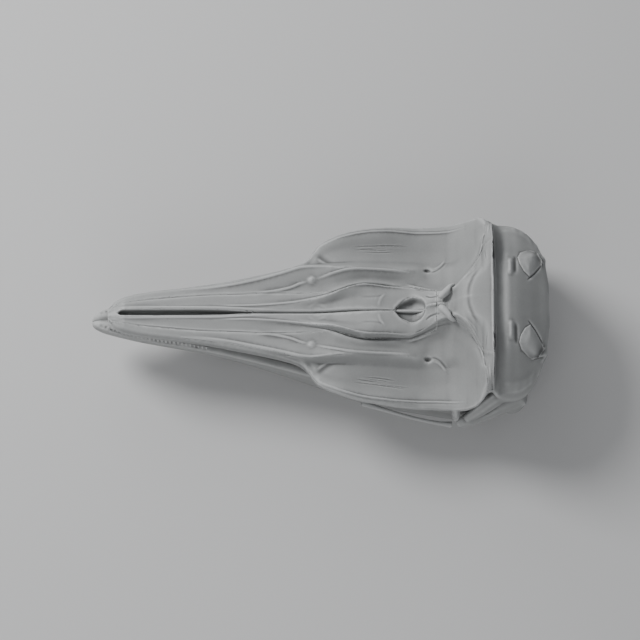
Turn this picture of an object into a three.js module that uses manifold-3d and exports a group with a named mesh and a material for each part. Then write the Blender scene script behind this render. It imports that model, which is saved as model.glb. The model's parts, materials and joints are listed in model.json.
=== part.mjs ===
import * as THREE from "three";
import { mergeVertices } from "three/addons/utils/BufferGeometryUtils.js";
import Module from "manifold-3d";

// A harbour porpoise's skull with its lower jaw closed, life size, in millimetres.
// +X runs from the nose to the back of the head, +Y to the animal's right and +Z up.
// The lower edges of the jaw rest on the floor, Z = 0, and X = 0 is where the beak joins the face.

const wasm = await Module();
wasm.setup();

// Driving sizes
const BEAK_LEVEL = 56; // height of the top of the beak above the floor
const BEAK_TIP_X = -130.5;
const CREST_X = 105.7; // rear edge of the nuchal crest
const GAP = 0.3; // between touching bones
const TOOTH_PITCH = 2.5;
const UPPER_ROW = [-127.5, -65];
const LOWER_ROW = [-136.25, -68.5]; // half a pitch out of step with the upper row
const TOOTH_RADIUS = 0.85;
const TOOTH_LENGTH = 3.4;
const TOOTH_ROOT = 1.6;
const UPPER_TOOTH_INSET = 2.4; // from the edge of the beak to the tooth's middle
const LOWER_TOOTH_INSET = 2.2;
const FAR = 200; // past the skull on every side

// Reads a smooth value at x from [x, value] pairs, without overshoot between them.
function curve(pairs) {
  const n = pairs.length;
  const xs = pairs.map((p) => p[0]);
  const ys = pairs.map((p) => p[1]);
  const slope = [];
  for (let i = 0; i < n - 1; i++) slope.push((ys[i + 1] - ys[i]) / (xs[i + 1] - xs[i]));
  const tangent = xs.map((_, i) => {
    if (i === 0 || i === n - 1) return slope[Math.min(i, n - 2)];
    if (slope[i - 1] * slope[i] <= 0) return 0;
    return (2 * slope[i - 1] * slope[i]) / (slope[i - 1] + slope[i]);
  });
  return (x) => {
    if (x <= xs[0]) return ys[0];
    if (x >= xs[n - 1]) return ys[n - 1];
    let i = 0;
    while (x > xs[i + 1]) i++;
    const step = xs[i + 1] - xs[i];
    const t = (x - xs[i]) / step;
    const rise = ys[i + 1] - ys[i];
    const a = tangent[i] * step - rise;
    const b = rise - tangent[i + 1] * step;
    return ys[i] + t * rise + t * (1 - t) * (a * (1 - t) + b * t);
  };
}

// Closes a row of equal rings of points into one solid, with a fan over each end.
function loft(rings) {
  const size = rings[0].length;
  const points = rings.flat();
  const faces = [];
  for (let r = 0; r < rings.length - 1; r++) {
    for (let i = 0; i < size; i++) {
      const j = (i + 1) % size;
      const a = r * size + i;
      const b = r * size + j;
      faces.push(a, b, b + size, a, b + size, a + size);
    }
  }
  const middle = (ring) => ring.reduce((sum, p) => sum.add(p), new THREE.Vector3()).divideScalar(size);
  const first = points.push(middle(rings[0])) - 1;
  const last = points.push(middle(rings[rings.length - 1])) - 1;
  const base = (rings.length - 1) * size;
  for (let i = 0; i < size; i++) {
    const j = (i + 1) % size;
    faces.push(first, j, i, last, base + i, base + j);
  }
  const geometry = new THREE.BufferGeometry().setFromPoints(points);
  geometry.setIndex(faces);
  return solid(geometry);
}

// Turns a closed three.js geometry into a solid that can be joined and cut.
function solid(geometry) {
  const bare = geometry.clone();
  bare.deleteAttribute("normal");
  bare.deleteAttribute("uv");
  const merged = mergeVertices(bare, 1e-4);
  const made = new wasm.Manifold(
    new wasm.Mesh({
      numProp: 3,
      vertProperties: new Float32Array(merged.attributes.position.array),
      triVerts: new Uint32Array(merged.index.array),
    }),
  );
  if (made.volume() > 0) return made;
  const turned = merged.index.array.slice();
  for (let i = 0; i < turned.length; i += 3) [turned[i + 1], turned[i + 2]] = [turned[i + 2], turned[i + 1]];
  return new wasm.Manifold(
    new wasm.Mesh({
      numProp: 3,
      vertProperties: new Float32Array(merged.attributes.position.array),
      triVerts: new Uint32Array(turned),
    }),
  );
}

const join = (pieces) => pieces.reduce((whole, piece) => whole.add(piece));
const cut = (whole, pieces) => pieces.reduce((rest, piece) => rest.subtract(piece), whole);
const largest = (piece) => piece.decompose().reduce((a, b) => (b.volume() > a.volume() ? b : a));
const mirrored = (piece) => piece.mirror([0, 1, 0]);
const bothSides = (piece) => [piece, mirrored(piece)];

// An upright prism over an outline of [x, y] points, from the height low to high.
function prism(outline, low = -FAR, high = FAR) {
  const shape = new THREE.Shape(outline.map(([x, y]) => new THREE.Vector2(x, y)));
  const geometry = new THREE.ExtrudeGeometry(shape, { depth: high - low, bevelEnabled: false });
  return solid(geometry.translate(0, 0, low));
}

// An oval ball at a place, with its three half sizes and an optional turn.
function ball(at, half, turn = [0, 0, 0], detail = 12) {
  const geometry = new THREE.SphereGeometry(1, detail, Math.round(detail * 0.66));
  geometry.scale(...half);
  geometry.applyMatrix4(new THREE.Matrix4().makeRotationFromEuler(new THREE.Euler(...turn)));
  return solid(geometry.translate(...at));
}

// A bent horn through stations of {at, wide, high}: an oval section that stays square to the path.
function horn(stations, sides = 8, steps = 2) {
  const path = new THREE.CatmullRomCurve3(stations.map((s) => new THREE.Vector3(...s.at)));
  const last = stations.length - 1;
  const pairs = (key) => curve(stations.map((s, i) => [i / last, s[key]]));
  const wide = pairs("wide");
  const high = pairs("high");
  const rings = [];
  for (let i = 0; i <= last * steps; i++) {
    const t = i / (last * steps);
    const along = path.getTangent(t);
    const across = new THREE.Vector3(0, 0, 1).cross(along).normalize();
    const up = along.clone().cross(across);
    const centre = path.getPoint(t);
    const ring = [];
    for (let k = 0; k < sides; k++) {
      const angle = (2 * Math.PI * k) / sides;
      ring.push(
        centre
          .clone()
          .addScaledVector(across, wide(t) * Math.cos(angle))
          .addScaledVector(up, high(t) * Math.sin(angle)),
      );
    }
    rings.push(ring);
  }
  return loft(rings);
}

// Outline of the skull from above: half width, and height of that edge over the beak level.
const edgeWidth = curve([
  [-130.5, 3.2], [-129, 6.2], [-126, 9], [-121, 11.4], [-114, 13.2], [-105, 14.5], [-90, 16.1], [-74, 18],
  [-43, 23.6], [-24, 27.8], [-12, 31.8], [-7, 36], [-4, 40.6], [0, 45.4], [6, 48.6], [13, 51.4], [25, 54.8],
  [38, 56.6], [50, 57.8], [62, 58.2], [78, 59], [90, 60.4], [96.4, 60], [99.5, 58.2], [103, 54.6],
  [105.7, 54],
  [109, 55.6], [114, 56.4], [120, 56], [127, 52.5], [132, 46.5], [136, 37], [139, 25], [140.5, 13],
]);
const edgeHeight = curve([
  [-130.5, -6.5], [-121, -6], [-105, -4.6], [-74, -3.4], [-43, -3], [-24, -2.4], [-12, -3], [-4, -6],
  [0, -4.6],
  [13, -2.4], [25, -3.6], [38, -5], [50, -8], [62, -10.6], [78, -10], [90, -5], [96.4, 3.6], [99.5, 10.6],
  [103, 15], [105.7, 13], [109, 4], [114, 0], [127, -1], [132, 3], [136, 8], [139, 12], [140.5, 14],
]);

// The raised rim of the plates: how far in from the edge, and how far above it.
const rimWidth = curve([
  [-130.5, 0.2], [-105, 0.5], [-24, 0.5], [-12, 0.6], [0, 2], [20, 2.6], [95, 2.8], [105.7, 2],
]);
const rimHeight = curve([
  [-130.5, 0.3], [-105, 1.2], [-24, 1], [0, 1.4], [80, 1.2], [95, 1.8], [105.7, 4],
]);

// Lines along the face, each a pair: distance from the middle, and height over the beak level.
const FACE_LINES = [
  {
    // middle of the beak, the blowhole's rims and the nuchal crest
    away: curve([[-131, 0], [141, 0]]),
    height: curve([
      [-130.5, -5], [-126, -1.8], [-120, 0], [-60, 0.2], [-5, 0.2], [6, 1.6], [20, 4.4], [32, 5.6],
      [44, 5.4],
      [54, 5], [62, 10], [68, 15.6], [74, 19], [79, 20.6], [82, 24], [85, 29.4], [88, 33], [92, 35],
      [105.7, 37],
    ]),
  },
  {
    // line of the nostrils, halfway over the premaxilla
    away: curve([
      [-130.5, 0.6], [-124, 1.8], [-40, 2.6], [0, 4.8], [30, 8.6], [50, 8.8], [64, 7], [76, 5], [84, 6],
      [92, 10], [105.7, 18],
    ]),
    height: curve([
      [-130.5, -5], [-126, -1.8], [-120, 0.5], [-60, 0.8], [-9, 0.8], [6, 2.2], [20, 5.8], [32, 7.2],
      [44, 5.6],
      [54, 4.6], [62, 7.6], [68, 12], [74, 17.4], [79, 20], [82, 23.4], [85, 28.6], [88, 32], [92, 34],
      [105.7, 37],
    ]),
  },
  {
    // outer ridge of the premaxilla, then the front edge of the crest
    away: curve([
      [-130.5, 1.2], [-124, 3], [-74, 4.6], [-40, 4.8], [-31, 5], [-18, 6], [-9, 7.4], [0, 8.8], [6.5, 9.9],
      [12.7, 12], [19, 14], [28, 16], [44, 15.2], [54, 15.4], [61, 13.4], [68, 10.6], [74, 8.6], [79, 8],
      [83, 9], [88.4, 14], [92.7, 19.4], [96, 24.6], [99, 29.6], [102, 34], [105.7, 36],
    ]),
    height: curve([
      [-130.5, -5.2], [-126, -2], [-120, 0.3], [-50, 0.6], [-18, 1.1], [-9, 1.9], [0, 4], [6.5, 6.6],
      [12.7, 8.8],
      [20, 9.6], [28, 8.6], [44, 4.4], [54, 2], [61, 3.4], [68, 9], [74, 16], [79, 20], [83, 26],
      [88.4, 29.7],
      [92.7, 27.4], [96, 25], [99, 24.4], [102, 31], [105.7, 36.4],
    ]),
  },
  {
    // foot of that ridge
    away: curve([
      [-130.5, 1.8], [-124, 4], [-74, 6.4], [-40, 7], [-18, 8], [0, 10.6], [12.7, 13.6], [19, 15.2],
      [28, 17.2],
      [44, 16.6], [54, 16.8], [61, 15], [68, 12.6], [74, 11], [79, 10.8], [83, 12], [88.4, 17],
      [92.7, 22.4],
      [96, 27.4], [99, 32], [102, 36], [105.7, 38],
    ]),
    height: curve([
      [-130.5, -5.3], [-126, -2.2], [-120, 0], [-50, 0.1], [-18, -0.2], [-9, 0.4], [0, 1.4], [6.5, 2.6],
      [12.7, 3.4], [20, 3.6], [28, 3], [44, 0], [54, -1.6], [61, 0], [68, 4], [74, 9], [79, 12.6],
      [83, 16.4],
      [88.4, 20], [92.7, 21.4], [96, 21.6], [99, 22.4], [102, 29.6], [105.7, 35.6],
    ]),
  },
  {
    // hollow between the premaxilla and the brow ridge
    away: curve([
      [-130.5, 2.2], [-124, 5.4], [-105, 8.4], [-74, 11], [-40, 13], [-18, 15], [0, 16.6], [19, 20],
      [31, 21.4],
      [50, 21.4], [65, 20], [75, 17.4], [82, 18.4], [90, 24.6], [96, 31.6], [99, 35.6], [102, 39.6],
      [105.7, 41],
    ]),
    height: curve([
      [-130.5, -5.4], [-126, -2.6], [-120, -0.4], [-74, -0.6], [-40, -1], [-18, -0.8], [0, 0.2], [10, 2],
      [19, 2.6], [31, 2], [50, -1.6], [65, -3], [75, 1], [82, 7.4], [90, 14.6], [96, 20], [99, 23],
      [102, 28.4],
      [105.7, 33],
    ]),
  },
  {
    // brow ridge: the edge of the beak, carried on over the face
    away: curve([
      [-130.5, 2.5], [-124, 8], [-105, 12.6], [-74, 16.4], [-43, 21.6], [-24, 25.8], [-12, 29],
      [-6, 29.4], [0, 28.8],
      [17, 27.4], [33, 27], [50, 27.4], [65, 28.6], [82, 28], [90, 31], [96, 36.6], [99, 40],
      [102, 43.4], [105.7, 44],
    ]),
    height: curve([
      [-130.5, -5.6], [-126, -3.2], [-120, -1.6], [-105, -1.4], [-74, -1.6], [-43, -1], [-24, 1],
      [-12, 2.6],
      [-6, 2.6], [0, 3.4], [7, 5], [17, 5.8], [33, 3.6], [50, 0.4], [60, -3], [67, -5.4], [75, -4],
      [82, 0.6],
      [90, 8.6], [96, 17.4], [99, 23.4], [102, 26.6], [105.7, 30],
    ]),
  },
  {
    // valley outside the brow ridge
    away: curve([
      [-130.5, 2.7], [-124, 8.6], [-105, 13.2], [-74, 17], [-43, 22.2], [-24, 26.4], [-12, 30],
      [-6, 31.4], [0, 32.6],
      [17, 33.4], [65, 34.4], [82, 34], [90, 38], [96, 42.6], [99, 45.2], [102, 47.2], [105.7, 47.4],
    ]),
    height: curve([
      [-130.5, -5.8], [-126, -3.6], [-120, -2.2], [-105, -1.9], [-74, -2], [-43, -1.4], [-24, 0.2],
      [-12, 0.6],
      [-6, -1.6], [0, -2.6], [10, -1.6], [22, -1.4], [40, -3.6], [55, -6.2], [67, -8], [78, -6.6], [84, -3],
      [90, 3.4], [96, 13], [99, 20], [102, 24.4], [105.7, 26],
    ]),
  },
  {
    // floor of the dished plate
    away: curve([
      [-130.5, 2.8], [-124, 9], [-105, 13.6], [-74, 17.3], [-43, 22.7], [-24, 26.9], [-12, 30.6],
      [-6, 33.4],
      [0, 38], [17, 42], [65, 44], [82, 44], [90, 46.4], [96, 48.8], [99, 50.4], [102, 50.6], [105.7, 50.4],
    ]),
    height: curve([
      [-130.5, -6], [-126, -4], [-120, -3], [-105, -2.4], [-74, -2.4], [-43, -1.8], [-24, -0.8],
      [-12, -0.8],
      [-6, -3.4], [0, -3.4], [13, -2.8], [25, -4], [40, -6.6], [55, -9.4], [67, -10.4], [78, -9], [84, -6],
      [90, -0.4], [96, 8.4], [99, 15.6], [102, 21], [105.7, 21.4],
    ]),
  },
  {
    // inner edge of the plate's raised rim
    away: (x) => edgeWidth(x) - rimWidth(x),
    height: (x) => edgeHeight(x) + rimHeight(x),
  },
  { away: (x) => edgeWidth(x), height: (x) => edgeHeight(x) },
];

// Behind the crest the roof is one arched section from the middle to its edge.
const CROWN_SHARES = [0, 0.14, 0.26, 0.38, 0.5, 0.62, 0.74, 0.85, 0.94, 1];
const crownHeight = curve([
  [105.7, 37], [107.2, 34.2], [110, 32.6], [114, 33.2], [119, 31.4], [127, 26], [134, 21], [138.6, 18],
  [140.5, 16.4],
]);
const CROWN_ARCH = 2.9;

// Half of the roof's section at x, from the middle out, as [distance from the middle, height].
function roofLine(x) {
  if (x <= CREST_X) return FACE_LINES.map((line) => [line.away(x), line.height(x)]);
  const wide = edgeWidth(x);
  const top = crownHeight(x);
  return CROWN_SHARES.map((share) => [share * wide, top - (top - edgeHeight(x)) * share ** CROWN_ARCH]);
}

// Height of the roof over the beak level, anywhere on the skull.
const roofHeight = (x, y) => curve(roofLine(x))(Math.abs(y));

// Underside of the beak and of the brow plates: height of its edge and of its middle.
const underEdge = curve([
  [-130.5, -8.4], [-120, -9.6], [-74, -10.8], [-40, -12.6], [-18, -12.6], [-9, -13.4], [0, -15], [50, -16],
  [80, -15.4], [95, -8], [104, 0], [108, -8], [140.5, 4],
]);
const palate = curve([[-130.5, -8.8], [-120, -11], [-74, -13.2], [-40, -14.8], [-5, -16.4], [15, -17]]);
const PLATE_THICKNESS = 6.2;
const FACE_THICKNESS = 15;
const FACE_HALF_WIDTH = 22;
const FACE_EDGE = 6; // width of the step from the face's thickness to the plate's
const FACE_FROM = -9;
const FACE_FULL = 3;
const EDGE_LEAN = 0.5; // the underside is this much narrower than the edge above it

function underHeight(x, y, wide) {
  const share = Math.abs(y) / wide;
  const beak = underEdge(x) + (palate(x) - underEdge(x)) * (1 - share ** 2);
  if (x < FACE_FROM) return beak;
  const inner = THREE.MathUtils.smoothstep(Math.abs(y), FACE_HALF_WIDTH, FACE_HALF_WIDTH + FACE_EDGE);
  const thick = THREE.MathUtils.lerp(FACE_THICKNESS, PLATE_THICKNESS, inner);
  const plate = roofHeight(x, y) - thick;
  return THREE.MathUtils.lerp(beak, plate, THREE.MathUtils.smoothstep(x, FACE_FROM, FACE_FULL));
}

const ROOF_STATIONS = [
  -130.5, -129.4, -127.5, -124, -120, -112, -100, -84, -66, -50, -36, -25, -17, -12, -9, -6, -4, -1, 3, 8,
  13, 19, 26, 34, 43, 51, 57, 62, 67, 71, 75, 79, 82, 85, 88, 91, 94, 96.4, 98.4, 100.2, 102, 104, 105.7,
  107.2, 110, 114, 119.5, 125, 129.5, 133.5, 136.5, 138.8, 140.5,
];
const UNDER_SHARES = [1, 0.84, 0.6, 0.3];
const SPLIT_LINES = [2, 4, 5, 6, 7]; // face lines with a further point halfway to the next

// The beak, face and brow plates and the crown as one shell, swollen all round by grow.
function roofShell(grow = 0) {
  return loft(
    ROOF_STATIONS.map((station, i) => {
      const end = i === 0 ? -grow : i === ROOF_STATIONS.length - 1 ? grow : 0;
      const line = roofLine(station);
      const across = curve(line);
      const split = ([y], k) => (SPLIT_LINES.includes(k) ? [y, (y + line[k + 1][0]) / 2] : [y]);
      const aways = line.flatMap(split);
      const half = aways.map((y, k) => [k === aways.length - 1 ? y + grow : y, across(y) + grow]);
      const over = [...half.slice(1).reverse(), ...half.map(([y, h]) => [-y, h])];
      const shares = [...UNDER_SHARES, ...UNDER_SHARES.map((share) => -share).reverse()];
      const wide = edgeWidth(station);
      const under = shares.map((share) => [
        share * (wide + grow - EDGE_LEAN),
        underHeight(station, share * wide, wide) - grow,
      ]);
      const ring = [...over, ...under.reverse()];
      return ring.map(([y, h]) => new THREE.Vector3(station + end, y, BEAK_LEVEL + h));
    }),
  );
}

// Half outline of the braincase: an oval section between its floor and its top.
const caseWidth = curve([
  [26, 12], [45, 17], [60, 23], [72, 31], [84, 39], [95, 45.5], [105, 51.5], [114, 55], [121, 54.6],
  [127, 51],
  [132, 45], [136, 36], [139, 22], [140, 12],
]);
const caseTop = curve([
  [26, -12], [60, -6], [75, 0], [90, 12], [105, 26], [114, 26.5], [126, 22], [133, 16.5], [140, 10],
]);
const caseFloor = curve([
  [26, -36], [45, -40], [70, -41], [100, -40], [114, -36], [123, -29], [130, -20], [136, -9], [140, 1],
]);
const CASE_STATIONS = [26, 35, 45, 55, 65, 75, 84, 92, 100, 107, 114, 120, 125, 129, 132.5, 135.5, 138, 140];
const CASE_SIDES = 24;
const CASE_SQUARENESS = 0.84;

function braincase() {
  const bulge = (v) => Math.sign(v) * Math.abs(v) ** CASE_SQUARENESS;
  return loft(
    CASE_STATIONS.map((x) => {
      const high = (caseTop(x) - caseFloor(x)) / 2;
      const middle = BEAK_LEVEL + (caseTop(x) + caseFloor(x)) / 2;
      return Array.from({ length: CASE_SIDES }, (_, k) => {
        const angle = (2 * Math.PI * k) / CASE_SIDES;
        const y = caseWidth(x) * bulge(Math.cos(angle));
        return new THREE.Vector3(x, y, middle + high * bulge(Math.sin(angle)));
      });
    }),
  );
}

// Knobs and arms of the right side, mirrored for the left. Turns are in radians.
const condyle = () =>
  horn([
    { at: [119, 20, 79], wide: 4, high: 4 },
    { at: [126, 25, 74.6], wide: 8.6, high: 8 },
    { at: [130.6, 28, 65], wide: 9, high: 9.4 },
    { at: [132, 24, 52], wide: 8, high: 8.5 },
    { at: [131, 13, 44], wide: 4, high: 5 },
  ], 10, 2);
const zygomaticArm = () =>
  horn([
    { at: [122, 44, 38], wide: 12, high: 12 },
    { at: [112, 50, 34], wide: 9, high: 11 },
    { at: [101, 56, 29], wide: 6, high: 8 },
    { at: [92, 60, 25.5], wide: 4.2, high: 5.4 },
    { at: [85.5, 61.6, 23], wide: 2.6, high: 3 },
  ]);
const templeWall = () =>
  horn([
    { at: [115, 49, 55], wide: 5, high: 8 },
    { at: [107, 53, 47], wide: 5, high: 8 },
    { at: [99, 57, 37.5], wide: 4, high: 6.4 },
    { at: [91.5, 60.2, 29], wide: 2.8, high: 3.6 },
  ]);
const occipitalWing = () => ball([119, 46, 33], [10, 10.5, 21], [0.1, 0, 0.3], 12);
const postorbitalArm = () =>
  horn([
    { at: [83, 53, 44], wide: 4, high: 8 },
    { at: [83.5, 57, 38], wide: 3, high: 6.4 },
    { at: [84, 59.6, 31], wide: 2.2, high: 3.6 },
    { at: [84, 60.4, 28.6], wide: 1.2, high: 1.6 },
  ]);
const preorbitalLobe = () => ball([31, 48.6, 39.6], [12, 5.4, 5], [0.2, 0.1, -0.1], 12);
const pterygoidHook = () =>
  horn([
    { at: [22, 9, 34], wide: 7, high: 6 },
    { at: [36, 9.6, 26], wide: 7.6, high: 8.5 },
    { at: [49, 9.4, 20], wide: 6.4, high: 7.4 },
    { at: [59, 8.6, 15.6], wide: 3, high: 3.2 },
  ]);
const basalCrest = () => horn([
  { at: [62, 13, 19], wide: 3, high: 5 },
  { at: [84, 16, 16.6], wide: 3.6, high: 5 },
  { at: [104, 20, 17.6], wide: 4.4, high: 5.4 },
  { at: [116, 24, 24], wide: 4, high: 5 },
]);
const earBone = (grow = 0) => ball([96, 33, 17.4], [13.4 + grow, 7 + grow, 7.4 + grow], [0, 0.1, 0.35], 12);
const nasalKnob = () =>
  horn([
    { at: [73.2, 2.9, 77.6], wide: 1.2, high: 1.4 },
    { at: [75, 4.2, 78.4], wide: 2, high: 2.8 },
    { at: [80, 9, 77.6], wide: 2.2, high: 3 },
    { at: [82.2, 11.2, 75.4], wide: 1.2, high: 1.6 },
  ]);
const jugalBar = () =>
  horn([
    { at: [26, 51.4, 33.6], wide: 2.2, high: 2 },
    { at: [42, 55.4, 29], wide: 1.3, high: 1.6 },
    { at: [60, 59.4, 25], wide: 1.2, high: 1.5 },
    { at: [74, 61.6, 22.4], wide: 1.3, high: 1.6 },
    { at: [82, 62.2, 21.4], wide: 2.2, high: 2.2 },
  ], 8);

// Openings: the slot along the beak, the blowhole and the spinal cord's way in.
const slotWidth = curve([
  [-124.4, 0.5], [-123.4, 1.4], [-121, 1.9], [-100, 2.05], [-74, 1.95], [-58, 1.6], [-48, 1], [-40, 0.62],
  [-20, 0.5], [46, 0.5],
]);
const SLOT_STATIONS = [-124.4, -123.4, -121, -100, -74, -58, -48, -40, -20, 46];
const SLOT_FLOOR = -8.5;

function beakSlot() {
  const side = SLOT_STATIONS.map((x) => [x, slotWidth(x)]);
  return prism([...side, ...side.map(([x, y]) => [x, -y]).reverse()], BEAK_LEVEL + SLOT_FLOOR, FAR);
}

// The blowhole is one pit, pointed in front, which the septum parts into two passages.
const naresWidth = curve([
  [45.6, 0.6], [49, 4.6], [53, 7.7], [57, 8.9], [61, 8], [64, 5.2], [65.2, 2.4],
]);
const naresFloor = curve([[45.6, 3], [50, 0.6], [57, 0], [62, 3], [65.2, 7]]);
const NARES_STATIONS = [45.6, 47, 49, 51.5, 54.5, 57, 59.5, 62, 64, 65.2];
const NARES_FLOOR_SHARE = 0.72;
const NARES_WALL = 3.4;

function nares() {
  return loft(
    NARES_STATIONS.map((x) => {
      const wide = naresWidth(x);
      const low = BEAK_LEVEL + naresFloor(x);
      const half = [[NARES_FLOOR_SHARE * wide, low], [wide, low + NARES_WALL], [wide, FAR]];
      const ring = [...half, ...half.map(([y, z]) => [-y, z]).reverse()];
      return ring.map(([y, z]) => new THREE.Vector3(x, y, z));
    }),
  );
}

const foramenMagnum = () =>
  horn([
    { at: [108, 0, 57], wide: 11, high: 9 },
    { at: [118, 0, 58], wide: 13, high: 12.4 },
    { at: [134, 0, 59], wide: 12.6, high: 12.4 },
    { at: [150, 0, 60], wide: 13.4, high: 13.4 },
  ], 18, 2);

// Plan lines along which the bones meet.
const sutureWidth = curve([
  [-132, 3], [-124, 5.4], [-111, 8], [-74, 11.3], [-50, 12.2], [-31, 13], [-9, 12.6], [6, 12.4], [19, 15.2],
  [31, 17.2], [56, 16.8], [66, 14], [73, 11.4],
]);
const PREMAXILLA_END = 72;
const PREMAXILLA_STATIONS = [
  BEAK_TIP_X - 4, -124, -111, -92, -74, -50, -31, -18, -9, -2, 6, 12, 19, 25, 31, 44, 56, 66, PREMAXILLA_END,
];
const premaxillaDepth = curve([[-130.5, 5], [-74, 7], [0, 8], [40, 7], [72, 7]]);
const crestLine = [
  [79.4, 0], [79.4, 9.4], [83, 10.4], [88.4, 15.4], [92.7, 20.8], [96, 26], [99, 31], [101, 38], [102, 46],
  [102.4, 54], [103.4, 64],
];

// The ground from the nose back to the foot of the crest, moved forward or back by shift.
function frontOfCrest(shift) {
  const side = crestLine.map(([x, y]) => [x + shift, y]);
  return prism([
    [-FAR, 64], [-FAR, -64],
    ...side.slice(1).reverse().map(([x, y]) => [x, -y]),
    ...side,
  ]);
}

// One premaxilla's ground beside the middle, from the roof down to its own depth.
function premaxillaBlock(grow) {
  const rings = PREMAXILLA_STATIONS.map((x) => {
    const shift = x === PREMAXILLA_END ? grow : 0;
    const near = GAP / 2 - grow;
    const wide = sutureWidth(x) + grow;
    const roof = Math.min(roofHeight(x, wide), FACE_LINES[0].height(x));
    const low = BEAK_LEVEL + roof - premaxillaDepth(x) - grow;
    const ring = [[near, low], [near, FAR], [wide, FAR], [wide, low]];
    return ring.map(([y, z]) => new THREE.Vector3(x + shift, y, z));
  });
  return loft(rings);
}

// The thin wall between the two passages of the blowhole, swollen by grow and then open above.
const SEPTUM = { from: 47, to: 64, half: 0.8, low: BEAK_LEVEL - 4, high: BEAK_LEVEL + 4 };
function septumBlock(grow) {
  const from = SEPTUM.from - grow;
  const to = SEPTUM.to + grow;
  const half = SEPTUM.half + grow;
  const high = grow > 0 ? FAR : SEPTUM.high;
  return prism([[from, -half], [to, -half], [to, half], [from, half]], SEPTUM.low - grow, high);
}

// The ground of the vomer, the strip of bone in the middle of the palate.
const VOMER = { from: -118, to: 74, half: 5, low: BEAK_LEVEL - 12, high: BEAK_LEVEL - 7.6 };
function vomerBlock(grow) {
  const from = VOMER.from - grow;
  const to = VOMER.to + grow;
  const half = VOMER.half + grow;
  return prism([[from, -half], [to, -half], [to, half], [from, half]], VOMER.low - grow, VOMER.high + grow);
}

// A piece whose left side is its right side mirrored.
function evened(piece) {
  const half = piece.intersect(prism([[-FAR, 0], [FAR, 0], [FAR, FAR], [-FAR, FAR]]));
  return half.add(mirrored(half));
}

// All of the animal's right side, half a gap clear of the middle plane.
const rightSide = prism([[-FAR, GAP / 2], [FAR, GAP / 2], [FAR, FAR], [-FAR, FAR]]);

// A row of pointed teeth that grow along up from the edge line(x) = [y, z]. Roots are sunk in.
// The first teeth and the last are the smallest.
const SMALLEST_TOOTH = 0.72;
function teeth([from, to], line, up) {
  const count = Math.round((to - from) / TOOTH_PITCH);
  return Array.from({ length: count }, (_, i) => {
    const x = from + (i + 0.5) * TOOTH_PITCH;
    const [y, z] = line(x);
    const share = i / (count - 1);
    const size = THREE.MathUtils.lerp(SMALLEST_TOOTH, 1, Math.sin(Math.PI * Math.min(1, 0.12 + share)));
    const tooth = new THREE.ConeGeometry(TOOTH_RADIUS * size, TOOTH_LENGTH * size + TOOTH_ROOT, 4);
    tooth.translate(0, (TOOTH_LENGTH * size - TOOTH_ROOT) / 2, 0);
    tooth.rotateX(up > 0 ? Math.PI / 2 : -Math.PI / 2);
    return solid(tooth.translate(x, y, z));
  });
}

// The right half of the lower jaw, from its outer face, inner face, lower edge and upper edge.
const jawOuter = curve([
  [-141, 1.8], [-139.6, 3.4], [-137, 5.2], [-133, 7.2], [-130, 8.4], [-121, 11.4], [-105, 15.2], [-74, 20],
  [-43, 26.6], [-18, 33], [0, 38], [19, 43], [30, 45.6], [50, 49.4], [70, 52.6], [86, 55], [99, 55.4],
]);
const jawInner = curve([
  [-141, GAP / 2], [-115, GAP / 2], [-108, 4], [-100, 7.4], [-74, 12.4], [-43, 19.2], [-18, 25.4], [0, 30.4],
  [19, 36], [30, 39.4], [50, 44], [70, 47.6], [86, 49.6], [99, 50],
]);
const jawTop = curve([
  [-141, -20], [-139.6, -16.8], [-137, -15], [-130, -14.2], [-105, -14.6], [-74, -15.9], [-43, -17.8],
  [-18, -18.4], [0, -19], [20, -20], [45, -21.4], [64, -19.6], [72, -22], [80, -28], [86, -32],
  [94, -34.5], [99, -40],
]);
const jawFloor = curve([
  [-141, 31], [-139.6, 28.6], [-137, 27], [-130, 24.6], [-105, 19.4], [-74, 14.4], [-43, 9.4],
  [-16, 4.6], [6, 1],
  [20, 0], [86, 0], [92, 1.4], [99, 6],
]);
// How far the lower edge leans in under the upper one.
const jawLean = curve([
  [-141, 0], [-134, 1], [-120, 3.4], [-99, 5], [-60, 5], [-20, 3.6], [0, 2.6], [24, 0],
]);
const JAW_STATIONS = [
  -141, -139.6, -137, -133, -130, -124, -115, -108, -100, -87, -74, -58, -43, -29, -16, -4, 6, 20, 34, 49,
  64, 72, 79, 86, 92, 96, 99,
];

function jawBar() {
  return loft(
    JAW_STATIONS.map((x) => {
      const out = jawOuter(x);
      const inn = jawInner(x);
      const top = BEAK_LEVEL + jawTop(x);
      const low = jawFloor(x);
      const high = top - low;
      const thick = out - inn;
      return [
        [inn, low + 0.16 * high],
        [inn + 0.3 * thick, low],
        [inn + 0.62 * thick, low],
        [inn + 0.9 * thick, low + 0.2 * high],
        [out, low + 0.5 * high],
        [out, low + 0.8 * high],
        [inn + 0.86 * thick, top],
        [inn + 0.3 * thick, top],
        [inn, low + 0.86 * high],
        [inn + 0.02 * thick, low + 0.5 * high],
      ].map(([y, z]) => {
        const lean = jawLean(x) * Math.min(1, (top - z) / high);
        return new THREE.Vector3(x, Math.max(y - lean, GAP / 2), z);
      });
    }),
  );
}
const jawKnuckle = (grow = 0) => ball([95.6, 52.4, 16.4], [5.6 + grow, 6 + grow, 5.4 + grow], [0, 0, 0], 10);

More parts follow.
